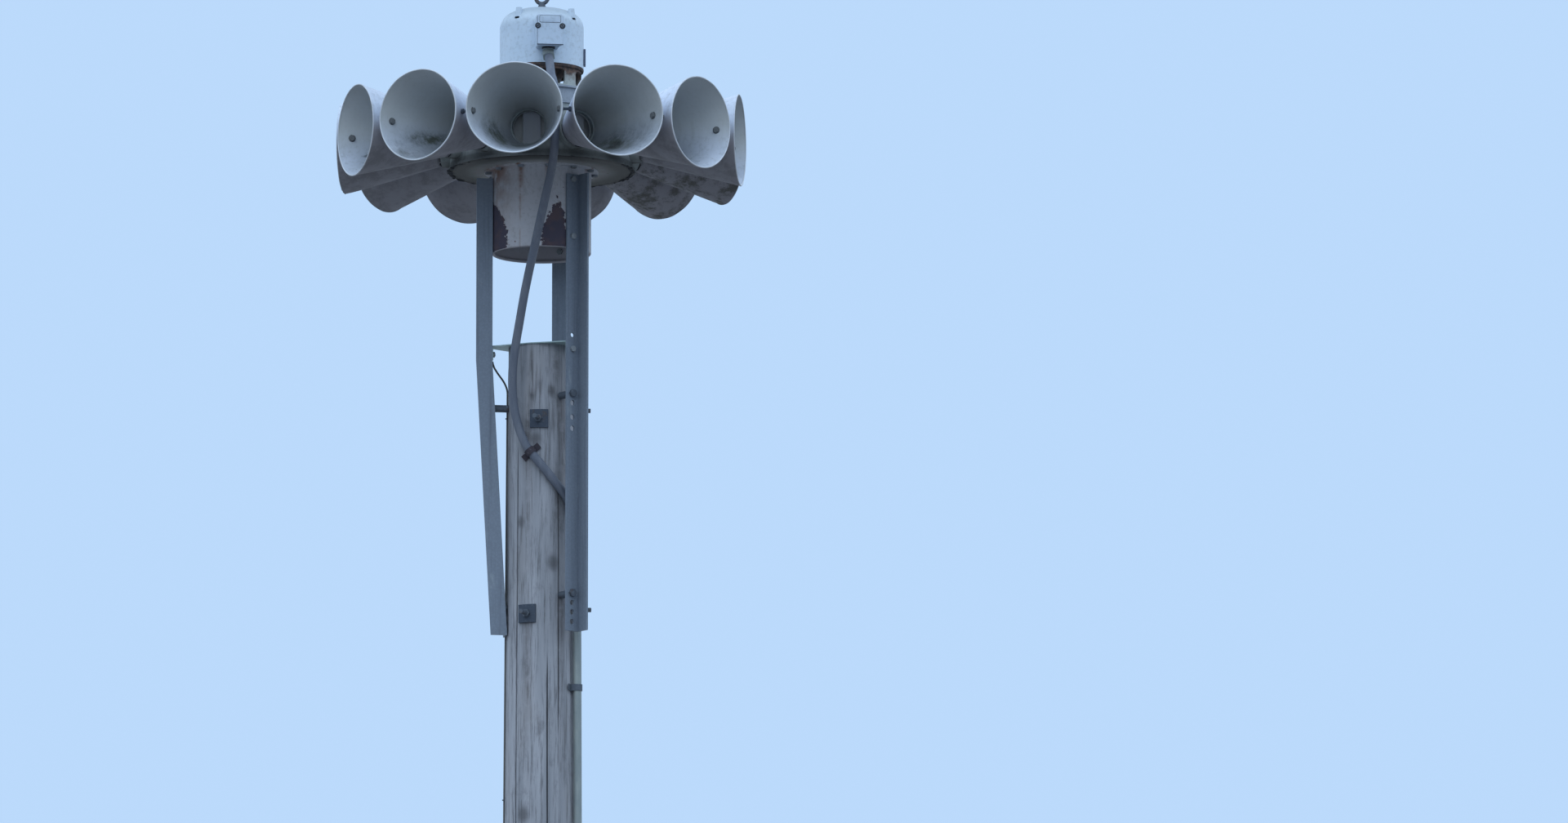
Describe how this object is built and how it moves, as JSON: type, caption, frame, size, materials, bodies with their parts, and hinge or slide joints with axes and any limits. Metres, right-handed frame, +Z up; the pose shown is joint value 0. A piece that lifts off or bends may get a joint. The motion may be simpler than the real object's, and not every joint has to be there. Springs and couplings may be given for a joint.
{
  "type": "civil defense siren tower",
  "caption": "Outdoor warning siren on a wood pole: round horns around a stator housing, motor above, intake drum below, angle-iron legs, conduit and ground wire.",
  "frame": {"origin": "centre of the pole's butt at ground level", "axes": "+Z up along the pole; -Y along the front horn's axis; +X to the right of it"},
  "size_m": [1.252, 1.252, 11.501],
  "materials": {
    "pole_wood": "weathered, rough",
    "galvanized_steel": "dull zinc coat",
    "bolt_steel": "dull, tarnished",
    "drum_paint": "weathered, peeled in patches",
    "housing_paint": "weathered, dirty",
    "rusty_iron": "rusty",
    "motor_paint": "weathered semi-gloss",
    "horn_paint": "weathered, mould low down",
    "fitting_metal": "dull cast",
    "conduit_jacket": "smooth grey jacket",
    "wire_copper": "dark, oxidised"
  },
  "bodies": {
    "root": {"pole": "pole_wood", "leg_left": "galvanized_steel", "leg_right": "galvanized_steel", "leg_rear": "galvanized_steel", "pole_cap_plate": "galvanized_steel", "leg_bolts": "bolt_steel", "through_bolts": "bolt_steel", "spacer_pipes": "bolt_steel", "square_washers": "bolt_steel", "horn_link_bolts": "bolt_steel", "riser_straps": "bolt_steel", "ground_wire_staples": "bolt_steel", "lifting_eye": "bolt_steel", "rotor_shaft": "bolt_steel", "intake_drum": "drum_paint", "base_plate": "housing_paint", "stator_ring": "housing_paint", "top_plate": "housing_paint", "top_collar": "housing_paint", "motor_pedestal": "housing_paint", "drum_flange_bolts": "housing_paint", "chopper_rotor": "housing_paint", "shaft_housing": "rusty_iron", "motor_flange": "rusty_iron", "conduit_strap": "rusty_iron", "motor_body": "motor_paint", "motor_end_bell": "motor_paint", "motor_side_cover": "motor_paint", "terminal_box": "motor_paint", "terminal_box_cover": "motor_paint", "horn_01": "horn_paint", "horn_02": "horn_paint", "horn_03": "horn_paint", "horn_04": "horn_paint", "horn_05": "horn_paint", "horn_06": "horn_paint", "horn_07": "horn_paint", "horn_08": "horn_paint", "horn_09": "horn_paint", "horn_10": "horn_paint", "horn_11": "horn_paint", "horn_12": "horn_paint", "conduit_fitting": "fitting_metal", "conduit_coupling": "fitting_metal", "riser_conduit": "fitting_metal", "flexible_conduit": "conduit_jacket", "ground_wire": "wire_copper"}
  },
  "joints": []
}
